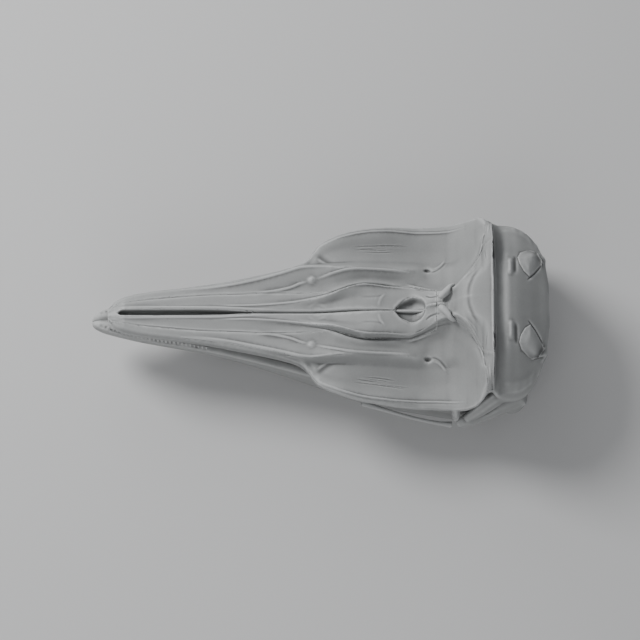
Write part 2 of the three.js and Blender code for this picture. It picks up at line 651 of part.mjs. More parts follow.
// The brow plates are two bones thick: this block holds the lower layer, lifted and widened by grow.
const BROW_LAYER = 3.1;
const BROW_INNER = 25;
const BROW_START = 6;
const BROW_END = 104;
const BROW_STEPS = 14;
const BROW_AWAYS = [BROW_INNER, 31, 38, 45, 51, 57, 68];
function browBlock(grow) {
  const ringAt = (x, shift) => {
    const roof = curve(roofLine(x));
    const topAt = (y) => BEAK_LEVEL + roof(Math.min(y, edgeWidth(x))) - BROW_LAYER + grow;
    const tops = BROW_AWAYS.map((y) => [y, topAt(y)]);
    tops[0][0] -= grow;
    const ring = [[tops[0][0], 0], ...tops, [BROW_AWAYS[BROW_AWAYS.length - 1], 0]];
    return ring.map(([y, z]) => new THREE.Vector3(x + shift, y, z));
  };
  const rings = Array.from({ length: BROW_STEPS + 1 }, (_, i) =>
    ringAt(THREE.MathUtils.lerp(BROW_START, BROW_END, i / BROW_STEPS), 0),
  );
  if (grow > 0) rings.unshift(ringAt(BROW_START, -grow));
  return loft(rings);
}

// A piece with copies moved a gap's width to every side, to cut a bed that it lies in without touching.
const NUDGES = [[0, 0, 0], [1, 0, 0], [-1, 0, 0], [0, 1, 0], [0, -1, 0], [0, 0, 1], [0, 0, -1]];
const BACK_AND_DOWN = [[0, 0, 0], [1, 0, 0], [0, 0, -1], [0, 1, 0], [0, -1, 0]];
const FORWARD_AND_OUT = [[0, 0, 0], [1, -1, -1]];
const UP_AND_IN = [[0, 0, 0], [1, -1, 1]];
const bedOf = (piece, ways = NUDGES) => join(ways.map((way) => piece.translate(way.map((v) => v * GAP))));

// The whole skull, bone by bone
const shell = evened(roofShell());
const blowhole = nares();
const front = shell.intersect(frontOfCrest(-GAP / 2));
const rear = shell.subtract(frontOfCrest(GAP / 2));
const bones = new Map();
const addPair = (name, piece) => {
  const whole = largest(piece);
  bones.set(`${name}_right`, whole);
  bones.set(`${name}_left`, mirrored(whole));
};

const knob = nasalKnob();
addPair("nasal", knob);
const face = cut(front, [beakSlot(), blowhole, ...bothSides(bedOf(knob))]);

bones.set("ethmoid", largest(septumBlock(0)));
const roundSeptum = face.subtract(septumBlock(GAP));
addPair("premaxilla", roundSeptum.intersect(premaxillaBlock(0)));
const underPremaxilla = cut(roundSeptum, bothSides(premaxillaBlock(GAP)));
bones.set("vomer", largest(underPremaxilla.intersect(vomerBlock(0))));

const besideVomer = underPremaxilla.subtract(vomerBlock(GAP)).intersect(rightSide);
const upperGum = (x) => [edgeWidth(x) - UPPER_TOOTH_INSET, BEAK_LEVEL + underEdge(x)];
const upperTeeth = teeth(UPPER_ROW, upperGum, -1);
const maxilla = largest(besideVomer.subtract(browBlock(GAP)));
addPair("maxilla", join([maxilla, ...upperTeeth]));
const brow = besideVomer.intersect(browBlock(0));
const orbitEnds = join([preorbitalLobe(), postorbitalArm()]).subtract(bedOf(maxilla));
addPair("frontal", join([brow, orbitEnds]));

const lowerGum = (x) => [jawOuter(x) - LOWER_TOOTH_INSET, BEAK_LEVEL + jawTop(x)];
const lowerTeeth = teeth(LOWER_ROW, lowerGum, 1);
addPair("mandible", join([jawBar(), jawKnuckle(), ...lowerTeeth]));
addPair("jugal", cut(jugalBar(), [bedOf(bones.get("frontal_right"))]));
addPair("ear_bone", earBone());

const sideKnobs = [condyle(), zygomaticArm(), templeWall(), occipitalWing(), pterygoidHook(), basalCrest()];
const casing = join([braincase(), rear, ...sideKnobs.flatMap(bothSides)]);
const faceBed = evened(roofShell(GAP)).intersect(frontOfCrest(GAP / 2));
const sideBeds = [
  bedOf(orbitEnds, FORWARD_AND_OUT),
  bedOf(jawBar(), UP_AND_IN),
  jawKnuckle(GAP),
  bedOf(jugalBar(), UP_AND_IN),
  earBone(GAP),
  bedOf(knob, BACK_AND_DOWN),
];
const hollows = [faceBed, foramenMagnum(), septumBlock(GAP), blowhole, ...sideBeds.flatMap(bothSides)];
bones.set("braincase", largest(cut(casing, hollows)));

const BONE = { color: 0xa4a7a5, roughness: 0.62, metalness: 0 };
const skull = new THREE.Group();
for (const [name, piece] of bones) {
  const found = piece.getMesh();
  const geometry = new THREE.BufferGeometry();
  geometry.setAttribute("position", new THREE.BufferAttribute(new Float32Array(found.vertProperties), 3));
  geometry.setIndex(new THREE.BufferAttribute(new Uint32Array(found.triVerts), 1));
  const mesh = new THREE.Mesh(geometry, new THREE.MeshStandardMaterial(BONE));
  mesh.name = name;
  skull.add(mesh);
}

export default skull;
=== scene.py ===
import json
import math

import bmesh
import bpy
import numpy as np
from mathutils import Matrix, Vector
from mathutils.bvhtree import BVHTree


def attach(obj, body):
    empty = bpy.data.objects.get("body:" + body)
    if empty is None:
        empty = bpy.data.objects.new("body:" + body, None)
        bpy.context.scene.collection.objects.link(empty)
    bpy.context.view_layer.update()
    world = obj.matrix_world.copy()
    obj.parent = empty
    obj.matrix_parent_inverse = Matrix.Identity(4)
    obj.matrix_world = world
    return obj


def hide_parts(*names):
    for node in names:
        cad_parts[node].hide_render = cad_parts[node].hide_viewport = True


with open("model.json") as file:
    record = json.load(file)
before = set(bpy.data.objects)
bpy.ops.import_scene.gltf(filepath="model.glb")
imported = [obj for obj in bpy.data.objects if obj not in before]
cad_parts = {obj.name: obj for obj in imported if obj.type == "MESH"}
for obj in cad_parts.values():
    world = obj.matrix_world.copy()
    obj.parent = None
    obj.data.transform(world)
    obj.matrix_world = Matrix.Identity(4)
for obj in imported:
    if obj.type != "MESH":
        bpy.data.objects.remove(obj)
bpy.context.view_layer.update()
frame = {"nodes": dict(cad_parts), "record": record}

# Driving sizes, in metres
MM = 0.001
BEAK_LEVEL = 56 * MM

# Mesh steps, how far each mesh swells before it is rebuilt, and the rounds of smoothing
SKIN_STEP = 0.62 * MM
BONE_STEP = 0.86 * MM
LOOSE_STEP = 0.5 * MM
SKIN_GROW = 0.22 * MM
BONE_GROW = 0.34 * MM
JAW_GROW = 0.12 * MM
WELD = 0.002 * MM
HEAD_ROUNDS = 40
JAW_ROUNDS = 60
LOOSE_ROUNDS = 12
BONE_ROUNDS = 3
SETTLE_ROUNDS = 2
BACK_ROUNDS = 14
REAR_ROUNDS = 24
FACING_ROUNDS = 3
STEEP_ROUNDS = 6

# How the skin takes the roof's shape: reach in millimetres, and where the pull fades
ROOF_REACH = 3.6
CROWN_REACH = 9
ROOF_FADE = 0.7
ROOF_FACING = (0.2, 0.42)
ROOF_EDGE = 1.01
CROWN_EDGE = (0.78, 0.94)
BACK_FROM = (108, 111)
REAR_TOP = 62 * MM
REAR_FROM = 12 * MM

# How a bone takes the skin's shape
EXPOSED = 0.55 * MM
BACK_EXPOSED = (110, 114)
BACK_EXPOSURE = 2
SKIN_REACH = 2 * MM
FOLLOW_FULL = 3 * MM
FOLLOW_END = 9 * MM

# Where the fine relief shows, how finely the mesh is split under it, and the painted shade in its creases
# and painted highlight on its ridges
RELIEF_FACING = (0.5, 0.8)
RELIEF_FULL = 0.5 * MM
RELIEF_END = 3 * MM
RELIEF_ZONE = (3, 6)
REFINED_FACING = 0.1
LINE_REACH = 3
LINE_CORE = 2
END_SHARE = 0.3
FINE_WIDTH = 0.95
COARSE_REACH = 1.9
FINE_REACH = 1.3
SPOT_REACH = 2.2
PAINTED_SHADE_BEND = 110
PAINTED_SHADE_LIFT = 2.2
PAINTED_SHADE_ROUNDS = 4
PAINTED_SHADE_KEPT = 0.4
SMALLEST_SPACING = 1e-12

HEAD_BONES = [
    "premaxilla_right", "premaxilla_left", "maxilla_right", "maxilla_left", "frontal_right",
    "frontal_left", "vomer", "nasal_right", "nasal_left", "braincase",
]
JAW_BONES = ["mandible_right", "mandible_left"]
LOOSE_BONES = ["ear_bone_right", "ear_bone_left", "jugal_right", "jugal_left", "ethmoid"]


# The roof of the skull, in millimetres: X from the nose back, heights from the top of the beak.
CREST_X = 105.7


def steep(rise, run):
    """Slopes at the points of a curve that never overshoots them, along the last axis."""
    slope = rise / run
    before, after = slope[..., :-1], slope[..., 1:]
    product = before * after
    inner = np.where(product > 0, 2 * product / np.where(product > 0, before + after, 1), 0)
    return np.concatenate([slope[..., :1], inner, slope[..., -1:]], axis=-1)


def curve(pairs):
    """A smooth function through (x, value) pairs, level beyond its ends."""
    xs, ys = (np.array(column, float) for column in zip(*pairs))
    slopes = steep(np.diff(ys), np.diff(xs))

    def read(x):
        x = np.clip(np.asarray(x, float), xs[0], xs[-1])
        i = np.clip(np.searchsorted(xs, x, side="right") - 1, 0, len(xs) - 2)
        return hermite(x, xs[i], xs[i + 1], ys[i], ys[i + 1], slopes[i], slopes[i + 1])

    return read


def hermite(x, x0, x1, y0, y1, s0, s1):
    """The value at x between two points of a curve with the slopes s0 and s1."""
    step = x1 - x0
    t = (x - x0) / step
    a = s0 * step - (y1 - y0)
    b = (y1 - y0) - s1 * step
    return y0 + t * (y1 - y0) + t * (1 - t) * (a * (1 - t) + b * t)


edge_width = curve([
    (-130.5, 3.2), (-129, 6.2), (-126, 9), (-121, 11.4), (-114, 13.2), (-105, 14.5), (-90, 16.1),
    (-74, 18), (-43, 23.6), (-24, 27.8), (-12, 31.8), (-7, 36), (-4, 40.6), (0, 45.4), (6, 48.6),
    (13, 51.4), (25, 54.8), (38, 56.6), (50, 57.8), (62, 58.2), (78, 59), (90, 60.4), (96.4, 60),
    (99.5, 58.2), (103, 54.6), (105.7, 54), (109, 55.6), (114, 56.4), (120, 56), (127, 52.5),
    (132, 46.5), (136, 37), (139, 25), (140.5, 13),
])
edge_height = curve([
    (-130.5, -6.5), (-121, -6), (-105, -4.6), (-74, -3.4), (-43, -3), (-24, -2.4), (-12, -3), (-4, -6),
    (0, -4.6), (13, -2.4), (25, -3.6), (38, -5), (50, -8), (62, -10.6), (78, -10), (90, -5), (96.4, 3.6),
    (99.5, 10.6), (103, 15), (105.7, 13), (109, 4), (114, 0), (127, -1), (132, 3), (136, 8), (139, 12),
    (140.5, 14),
])


rim_width = curve([
    (-130.5, 0.2), (-105, 0.5), (-24, 0.5), (-12, 0.6), (0, 2), (20, 2.6), (95, 2.8), (105.7, 2),
])
rim_height = curve([(-130.5, 0.3), (-105, 1.2), (-24, 1), (0, 1.4), (80, 1.2), (95, 1.8), (105.7, 4)])

# Lines along the face, each with its distance from the middle and its height over the beak level.
FACE_LINES = [
    {
        # middle of the beak, the blowhole's rims and the nuchal crest
        "away": curve([(-131, 0), (141, 0)]),
        "height": curve([
            (-130.5, -5), (-126, -1.8), (-120, 0), (-60, 0.2), (-5, 0.2), (6, 1.6), (20, 4.4), (32, 5.6),
            (44, 5.4), (54, 5), (62, 10), (68, 15.6), (74, 19), (79, 20.6), (82, 24), (85, 29.4),
            (88, 33), (92, 35), (105.7, 37),
        ]),
    },
    {
        "away": curve([
            (-130.5, 0.6), (-124, 1.8), (-40, 2.6), (0, 4.8), (30, 8.6), (50, 8.8), (64, 7), (76, 5),
            (84, 6), (92, 10), (105.7, 18),
        ]),
        "height": curve([
            (-130.5, -5), (-126, -1.8), (-120, 0.5), (-60, 0.8), (-9, 0.8), (6, 2.2), (20, 5.8),
            (32, 7.2), (44, 5.6), (54, 4.6), (62, 7.6), (68, 12), (74, 17.4), (79, 20), (82, 23.4),
            (85, 28.6), (88, 32), (92, 34), (105.7, 37),
        ]),
    },
    {
        # outer ridge of the premaxilla, then the front edge of the crest
        "away": curve([
            (-130.5, 1.2), (-124, 3), (-74, 4.6), (-40, 4.8), (-31, 5), (-18, 6), (-9, 7.4), (0, 8.8),
            (6.5, 9.9), (12.7, 12), (19, 14), (28, 16), (44, 15.2), (54, 15.4), (61, 13.4), (68, 10.6),
            (74, 8.6), (79, 8), (83, 9), (88.4, 14), (92.7, 19.4), (96, 24.6), (99, 29.6), (102, 34),
            (105.7, 36),
        ]),
        "height": curve([
            (-130.5, -5.2), (-126, -2), (-120, 0.3), (-50, 0.6), (-18, 1.1), (-9, 1.9), (0, 4),
            (6.5, 6.6), (12.7, 8.8), (20, 9.6), (28, 8.6), (44, 4.4), (54, 2), (61, 3.4), (68, 9),
            (74, 16), (79, 20), (83, 26), (88.4, 29.7), (92.7, 27.4), (96, 25), (99, 24.4), (102, 31),
            (105.7, 36.4),
        ]),
    },
    {
        # foot of that ridge
        "away": curve([
            (-130.5, 1.8), (-124, 4), (-74, 6.4), (-40, 7), (-18, 8), (0, 10.6), (12.7, 13.6),
            (19, 15.2), (28, 17.2), (44, 16.6), (54, 16.8), (61, 15), (68, 12.6), (74, 11), (79, 10.8),
            (83, 12), (88.4, 17), (92.7, 22.4), (96, 27.4), (99, 32), (102, 36), (105.7, 38),
        ]),
        "height": curve([
            (-130.5, -5.3), (-126, -2.2), (-120, 0), (-50, 0.1), (-18, -0.2), (-9, 0.4), (0, 1.4),
            (6.5, 2.6), (12.7, 3.4), (20, 3.6), (28, 3), (44, 0), (54, -1.6), (61, 0), (68, 4), (74, 9),
            (79, 12.6), (83, 16.4), (88.4, 20), (92.7, 21.4), (96, 21.6), (99, 22.4), (102, 29.6),
            (105.7, 35.6),
        ]),
    },
    {
        # hollow between the premaxilla and the brow ridge
        "away": curve([
            (-130.5, 2.2), (-124, 5.4), (-105, 8.4), (-74, 11), (-40, 13), (-18, 15), (0, 16.6),
            (19, 20), (31, 21.4), (50, 21.4), (65, 20), (75, 17.4), (82, 18.4), (90, 24.6), (96, 31.6),
            (99, 35.6), (102, 39.6), (105.7, 41),
        ]),
        "height": curve([
            (-130.5, -5.4), (-126, -2.6), (-120, -0.4), (-74, -0.6), (-40, -1), (-18, -0.8), (0, 0.2),
            (10, 2), (19, 2.6), (31, 2), (50, -1.6), (65, -3), (75, 1), (82, 7.4), (90, 14.6), (96, 20),
            (99, 23), (102, 28.4), (105.7, 33),
        ]),
    },
    {
        # brow ridge: the edge of the beak, carried on over the face
        "away": curve([
            (-130.5, 2.5), (-124, 8), (-105, 12.6), (-74, 16.4), (-43, 21.6), (-24, 25.8), (-12, 29),
            (-6, 29.4), (0, 28.8), (17, 27.4), (33, 27), (50, 27.4), (65, 28.6), (82, 28), (90, 31),
            (96, 36.6), (99, 40), (102, 43.4), (105.7, 44),
        ]),
        "height": curve([
            (-130.5, -5.6), (-126, -3.2), (-120, -1.6), (-105, -1.4), (-74, -1.6), (-43, -1), (-24, 1),
            (-12, 2.6), (-6, 2.6), (0, 3.4), (7, 5), (17, 5.8), (33, 3.6), (50, 0.4), (60, -3),
            (67, -5.4), (75, -4), (82, 0.6), (90, 8.6), (96, 17.4), (99, 23.4), (102, 26.6), (105.7, 30),
        ]),
    },
    {
        # valley outside the brow ridge
        "away": curve([
            (-130.5, 2.7), (-124, 8.6), (-105, 13.2), (-74, 17), (-43, 22.2), (-24, 26.4), (-12, 30),
            (-6, 31.4), (0, 32.6), (17, 33.4), (65, 34.4), (82, 34), (90, 38), (96, 42.6), (99, 45.2),
            (102, 47.2), (105.7, 47.4),
        ]),
        "height": curve([
            (-130.5, -5.8), (-126, -3.6), (-120, -2.2), (-105, -1.9), (-74, -2), (-43, -1.4), (-24, 0.2),
            (-12, 0.6), (-6, -1.6), (0, -2.6), (10, -1.6), (22, -1.4), (40, -3.6), (55, -6.2), (67, -8),
            (78, -6.6), (84, -3), (90, 3.4), (96, 13), (99, 20), (102, 24.4), (105.7, 26),
        ]),
    },
    {
        # floor of the dished plate
        "away": curve([
            (-130.5, 2.8), (-124, 9), (-105, 13.6), (-74, 17.3), (-43, 22.7), (-24, 26.9), (-12, 30.6),
            (-6, 33.4), (0, 38), (17, 42), (65, 44), (82, 44), (90, 46.4), (96, 48.8), (99, 50.4),
            (102, 50.6), (105.7, 50.4),
        ]),
        "height": curve([
            (-130.5, -6), (-126, -4), (-120, -3), (-105, -2.4), (-74, -2.4), (-43, -1.8), (-24, -0.8),
            (-12, -0.8), (-6, -3.4), (0, -3.4), (13, -2.8), (25, -4), (40, -6.6), (55, -9.4),
            (67, -10.4), (78, -9), (84, -6), (90, -0.4), (96, 8.4), (99, 15.6), (102, 21), (105.7, 21.4),
        ]),
    },
    {
        # inner edge of the plate's raised rim
        "away": lambda x: edge_width(x) - rim_width(x),
        "height": lambda x: edge_height(x) + rim_height(x),
    },
    {"away": edge_width, "height": edge_height},
]

# Behind the crest the head is one arch from side to side: the shares of its half width, and its roundness
CROWN_SHARES = np.array([0, 0.14, 0.26, 0.38, 0.5, 0.62, 0.74, 0.85, 0.94, 1])
CROWN_ARCH = 2.9
crown_height = curve([
    (105.7, 37), (106.8, 34.8), (108.8, 32.8), (111, 32.3), (113.8, 32.8), (118, 31.4), (127, 26),
    (134, 21), (138.6, 18), (140.5, 16.4),
])


def roof_height(x, y):
    """Height of the roof over the beak level at each x and y."""
    away = np.stack([np.broadcast_to(line["away"](x), x.shape) for line in FACE_LINES], axis=-1)
    high = np.stack([line["height"](x) for line in FACE_LINES], axis=-1)
    behind = x > CREST_X
    wide = edge_width(x)[behind, None]
    top = crown_height(x)[behind, None]
    edge = edge_height(x)[behind, None]
    away[behind] = CROWN_SHARES * wide
    high[behind] = top - (top - edge) * CROWN_SHARES ** CROWN_ARCH
    slopes = steep(np.diff(high, axis=-1), np.diff(away, axis=-1))
    far = np.clip(np.abs(y), 0, away[:, -1])
    i = np.clip(np.sum(away <= far[:, None], axis=-1) - 1, 0, away.shape[1] - 2)
    row = np.arange(len(x))
    return hermite(
        far, away[row, i], away[row, i + 1], high[row, i], high[row, i + 1],
        slopes[row, i], slopes[row, i + 1],
    )


def smoothstep(value, low, high):
    """A smooth rise from 0 at low to 1 at high."""
    t = np.clip((value - low) / (high - low), 0, 1)
    return t * t * (3 - 2 * t)


# Fine relief of the roof, in millimetres: (height, half width, [(x, distance from the middle), ...]).
# A negative height is a groove.
BOTH_SIDES = [
    # premaxilla: the rim of the slot, its outer ridge, the groove at the ridge's foot and its flat top
    (0.4, 0.75, [(-130, 2.6), (-122, 3.2), (-100, 3.3), (-70, 3.2), (-52, 2.6), (-40, 1.9), (-20, 1.5)]),
    (0.35, 0.6, [(-64, 4.4), (-44, 4.5), (-31, 5.1), (-18, 6.3), (-9, 7.6), (0, 9)]),
    (0.55, 0.8, [(-6, 6.9), (0, 8.5), (4, 9.5), (8.4, 10.8), (14, 12.6), (22, 15), (33, 15.9),
        (42, 15.4), (52, 15), (60, 13.8)]),
    (-1.5, 0.9, [(-5, 9), (1, 10.1), (8.4, 12), (13.7, 13.9), (19, 15.8), (28, 17.5), (40, 17.1),
        (54, 16.8)]),
    (-0.3, 0.55, [(-132, 3), (-124, 5.4), (-111, 8), (-92, 9.8), (-74, 11.3), (-50, 12.2), (-31, 13),
        (-9, 12.6), (6, 12.4)]),
    (-0.1, 0.9, [(24, 8.1), (31, 8), (37, 8.6), (41, 10.4)]),
    (0.2, 1.0, [(41, 11), (38, 7.6), (36.6, 4), (36.4, 1)]),
    (0.14, 1.1, [(-8, 1.6), (-4.6, 4.4), (-1, 5), (6, 1.8)]),
    # beak: the ridges before and behind the small knob, and the edge of the beak
    (0.6, 0.9, [(-40, 13), (-30, 13.8), (-18.3, 16.2), (-11.9, 18.7), (-5, 20.5)]),
    (0.75, 0.9, [(-5, 20.5), (2, 22.4), (8.4, 24.1), (18.5, 26.2), (30, 26.9), (44, 26.8), (58, 26.4)]),
    (0.55, 0.9, [(-84, 14.6), (-60, 17.4), (-40, 21.2), (-24, 25), (-12, 28.2), (-3, 29), (4, 28.6),
        (14, 27.6)]),
    # plate: the groove at its front, a second line inside its rim, and the pit's tail
    (-0.6, 2.3, [(-5, 41), (0, 37), (5.6, 33), (11, 30.6), (20, 29.2)]),
    (0.4, 1.0, [(-2, 36.4), (2, 33.4), (7, 30.6)]),
    (0.42, 0.6, [(-1, 42.4), (3, 45), (8, 47.4), (16.4, 50.4), (28, 53.1), (43, 54.5), (60, 54.5),
        (76, 54.8), (92, 56.4)]),
    (-0.24, 0.8, [(67, 28.6), (70, 27.8), (73, 28.8), (76, 31.4), (79, 35)]),
    (0.16, 0.7, [(69, 29.8), (72.4, 30.6), (75.4, 33), (78, 36.4)]),
    # behind the blowhole: thin lines that run up to the nasal bones
    (-0.7, 0.8, [(58, 14.4), (64, 12.8), (69, 11.4), (75, 10.2)]),
    (0.4, 0.7, [(52, 18.6), (60.7, 16.6), (67, 14.6), (74, 13.2), (79, 13)]),
    (-0.5, 0.7, [(64.6, 8), (67.4, 6.2), (70.5, 5.6), (74, 6)]),
    # crest: its two front lines, the crease on its slope and its sharp rear edge
    (0.9, 0.7, [(80.6, 8.6), (82.6, 9.8), (87.4, 13.4), (92.8, 19.9), (97.4, 28), (99.9, 37.6),
        (101, 46), (103, 55)]),
    (0.75, 0.65, [(86, 10.4), (90, 14.6), (94.9, 20), (99.6, 28.8), (102.2, 38), (103.2, 46), (104.8, 55)]),
    (-0.6, 1.3, [(90.6, -6), (90.4, 0), (91, 5.6), (92.8, 11), (95.6, 16.4), (98.6, 22.6), (102.4, 31)]),
    (0.5, 0.9, [(104.9, -9), (104.9, 0), (104.9, 33), (104.8, 42), (104.6, 56)]),
    # back of the head: a small rib and the slot behind it, and the inner edge of the condyle
    (1.2, 1.5, [(116.2, 13.6), (116.3, 17), (116.4, 22), (116.2, 27)]),
    (-0.8, 1.2, [(119.1, 15), (119.2, 18), (119.3, 24), (119.4, 29)]),
    (-0.9, 0.6, [(126.4, 12.2), (129.4, 16), (132.4, 19.6), (135, 23.4), (136.6, 26)]),
]
ONE_SIDE = [
    # the groove along the middle of the beak, the ridge behind the blowhole and a bump on the crest
    (-1.8, 0.7, [(-60, 0), (0, 0), (48, 0)]),
    (0.8, 0.9, [(59, -1.4), (62, -0.4), (67, 0.2), (72, 0), (77, 0)]),
    (0.9, 1.1, [(106.3, 1), (106.3, 14)]),
]
SPOTS = [
    # (height, x, distance from the middle, half length, half width)
    (1.6, -4.9, 20.6, 2.2, 1.9),
    (-2.2, 66.8, 28.7, 1.8, 1.2),
]
CONDYLE_LEAF = [
    (121.2, 27), (122.4, 22.6), (125, 18.2), (128.3, 15.4), (131.2, 18.4), (134.8, 23.8), (136, 29),
    (135, 34), (131, 35.6), (127, 34), (123, 31),
]
# How the leaf on the condyle stands out: a step at its edge, a dome inside it, and a fade on the steep side
LEAF_LIFT = 1.0
LEAF_DOME = 1.7
LEAF_DOME_DEPTH = 6
LEAF_EDGE = 0.55
LEAF_FADE_X = 136
LEAF_FADE_AWAY = 36
LEAF_FADE = 6
# Fine lengthwise grooves on the plate
STRIA_SEED = 7
STRIA_COUNT = 9
STRIA_X = (20, 44)
STRIA_AWAY = (38, 45)
STRIA_LENGTH = (10, 24)
STRIA_SLANT = 0.07
STRIA_HEIGHT = -0.08
STRIA_WIDTH = 0.34
STEPS_PER_SPAN = 4


def bent(line):
    """A smooth line through the points: a Catmull-Rom spline."""
    points = np.array(line, float)
    if len(points) < 3:
        return points
    padded = np.vstack([2 * points[0] - points[1], points, 2 * points[-1] - points[-2]])
    steps = np.linspace(0, 1, STEPS_PER_SPAN, endpoint=False)[:, None]
    spans = []
    for a, b, c, d in zip(padded[:-3], padded[1:-2], padded[2:-1], padded[3:]):
        square = 2 * a - 5 * b + 4 * c - d
        cube = 3 * (b - c) + d - a
        spans.append(b + 0.5 * steps * (c - a + steps * (square + steps * cube)))
    return np.vstack(spans + [points[-1:]])


def along_line(x, y, line):
    """Distance of each point from a line, and how far along the line it lies, from 0 to 1."""
    lengths = np.hypot(*np.diff(line, axis=0).T)
    starts = np.concatenate([[0], np.cumsum(lengths)])
    nearest = np.full(len(x), np.inf)
    along = np.zeros(len(x))
    for (x0, y0), (x1, y1), start, length in zip(line[:-1], line[1:], starts, lengths):
        t = np.clip(((x - x0) * (x1 - x0) + (y - y0) * (y1 - y0)) / length ** 2, 0, 1)
        distance = np.hypot(x - x0 - t * (x1 - x0), y - y0 - t * (y1 - y0))
        closer = distance < nearest
        nearest[closer] = distance[closer]
        along[closer] = start + t[closer] * length
    return nearest, along / starts[-1]


def striae():
    """Fine lengthwise lines on the plate, always the same ones."""
    dice = np.random.default_rng(STRIA_SEED)
    found = []
    for _ in range(STRIA_COUNT):
        x = dice.uniform(*STRIA_X)
        away = dice.uniform(*STRIA_AWAY)
        length = dice.uniform(*STRIA_LENGTH)
        line = [(x, away), (x + length, away + STRIA_SLANT * length)]
        found.append((STRIA_HEIGHT, STRIA_WIDTH, line))
    return found


def inside(x, y, outline):
    """Signed distance to an outline, positive inside it."""
    ring = np.array(outline + outline[:1], float)
    distance, _ = along_line(x, y, ring)
    crossings = np.zeros(len(x), int)
    for (x0, y0), (x1, y1) in zip(ring[:-1], ring[1:]):
        if y0 == y1:
            continue
        spans = (y0 > y) != (y1 > y)
        crossings += spans & (x < x0 + (y - y0) * (x1 - x0) / (y1 - y0))
    return np.where(crossings % 2 == 1, distance, -distance)


RELIEF_LINES = [(h, w, bent(line), True) for h, w, line in BOTH_SIDES + striae()]
RELIEF_LINES += [(h, w, bent(line), False) for h, w, line in ONE_SIDE]


def relief(x, y):
    """Height of the fine relief at each x and y, and how fine a mesh it needs there: 0, 1 or 2."""
    away = np.abs(y)
    height = np.zeros(len(x))
    need = np.zeros(len(x), int)
    for lift, wide, line, mirrored in RELIEF_LINES:
        across = away if mirrored else y
        reach = LINE_REACH * wide
        low = line.min(axis=0) - reach
        high = line.max(axis=0) + reach
        near_x = (x > low[0]) & (x < high[0])
        close = np.flatnonzero(near_x & (across > low[1]) & (across < high[1]))
        distance, along = along_line(x[close], across[close], line)
        taper = smoothstep(along, 0, END_SHARE) * smoothstep(1 - along, 0, END_SHARE)
        height[close] += lift * taper * np.exp(-(distance / wide) ** 2)
        level = np.where(distance < max(LINE_CORE * wide, COARSE_REACH), 1, 0)
        if wide < FINE_WIDTH:
            level[distance < max(LINE_CORE * wide, FINE_REACH)] = 2
        need[close] = np.maximum(need[close], level)
    for lift, at, out, long, wide in SPOTS:
        distance = np.hypot((x - at) / long, (away - out) / wide)
        height += lift * np.exp(-distance ** 2)
        need = np.maximum(need, np.where(distance < SPOT_REACH, 2, 0))
    depth = inside(x, away, CONDYLE_LEAF)
    leaf = LEAF_LIFT * smoothstep(depth, -LEAF_EDGE, LEAF_EDGE)
    leaf += LEAF_DOME * smoothstep(depth, 0, LEAF_DOME_DEPTH)
    leaf *= smoothstep(LEAF_FADE_X - x, 0, LEAF_FADE)
    height += leaf * smoothstep(LEAF_FADE_AWAY - away, 0, LEAF_FADE)
    need = np.maximum(need, np.where(np.abs(depth) < LINE_CORE * LEAF_EDGE, 2, 0))
    return height, need


# Mesh helpers
def read_mesh(mesh):
    """Vertices, vertex normals and edges of a mesh as arrays."""
    count = len(mesh.vertices)
    points = np.empty(count * 3)
    mesh.vertices.foreach_get("co", points)
    normals = np.empty(count * 3)
    mesh.vertices.foreach_get("normal", normals)
    edges = np.empty(len(mesh.edges) * 2, dtype=np.int64)
    mesh.edges.foreach_get("vertices", edges)
    return points.reshape(-1, 3), normals.reshape(-1, 3), edges.reshape(-1, 2)


def write_points(mesh, points):
    mesh.vertices.foreach_set("co", points.astype(np.float32).ravel())
    mesh.update()


def copied(name, sources, grow=0.0):
    """A new object holding the welded meshes of some frame nodes, each swollen by grow."""
    mesh = bpy.data.meshes.new(name)
    verts = []
    faces = []
    for source in sources:
        part = frame["nodes"][source].data
        points, _, _ = read_mesh(part)
        keys = np.round(points / WELD).astype(np.int64)
        _, first, place = np.unique(keys, axis=0, return_index=True, return_inverse=True)
        place = place.ravel()
        corners = [[int(place[i]) for i in face.vertices] for face in part.polygons]
        corners = [face for face in corners if len(set(face)) == len(face)]
        single = bpy.data.meshes.new("single")
        single.from_pydata(points[first].tolist(), [], corners)
        single.update()
        welded, normals, _ = read_mesh(single)
        start = sum(len(done) for done in verts)
        verts.append(welded + grow * normals)
        faces += [[start + i for i in face] for face in corners]
        bpy.data.meshes.remove(single)
    mesh.from_pydata(np.concatenate(verts).tolist(), [], faces)
    thing = bpy.data.objects.new(name, mesh)
    bpy.context.collection.objects.link(thing)
    return thing


def remeshed(thing, step):
    """The object with its mesh rebuilt as an even skin of small quads."""
    even = thing.modifiers.new("even", "REMESH")
    even.mode = "VOXEL"
    even.voxel_size = step
    found = thing.evaluated_get(bpy.context.evaluated_depsgraph_get())
    mesh = bpy.data.meshes.new_from_object(found)
    thing.modifiers.clear()
    thing.data = mesh
    return thing


def spread(values, edges, count):
    """The mean of each vertex's neighbours."""
    total = np.zeros_like(values)
    degree = np.bincount(edges.ravel(), minlength=count).astype(float)
    for axis in range(values.shape[1]):
        column = values[:, axis]
        total[:, axis] = np.bincount(edges[:, 0], weights=column[edges[:, 1]], minlength=count)
        total[:, axis] += np.bincount(edges[:, 1], weights=column[edges[:, 0]], minlength=count)
    return total / np.maximum(degree, 1)[:, None]


def smoothed(points, edges, rounds, pull=0.55, push=-0.57):
    """Points with facets and steps smoothed out and the volume kept."""
    for _ in range(rounds):
        for share in (pull, push):
            points = points + share * (spread(points, edges, len(points)) - points)
    return points


def blurred(values, edges, rounds):
    """Values evened out over a mesh."""
    column = values.astype(float)[:, None]
    for _ in range(rounds):
        column = spread(column, edges, len(column))
    return column[:, 0]


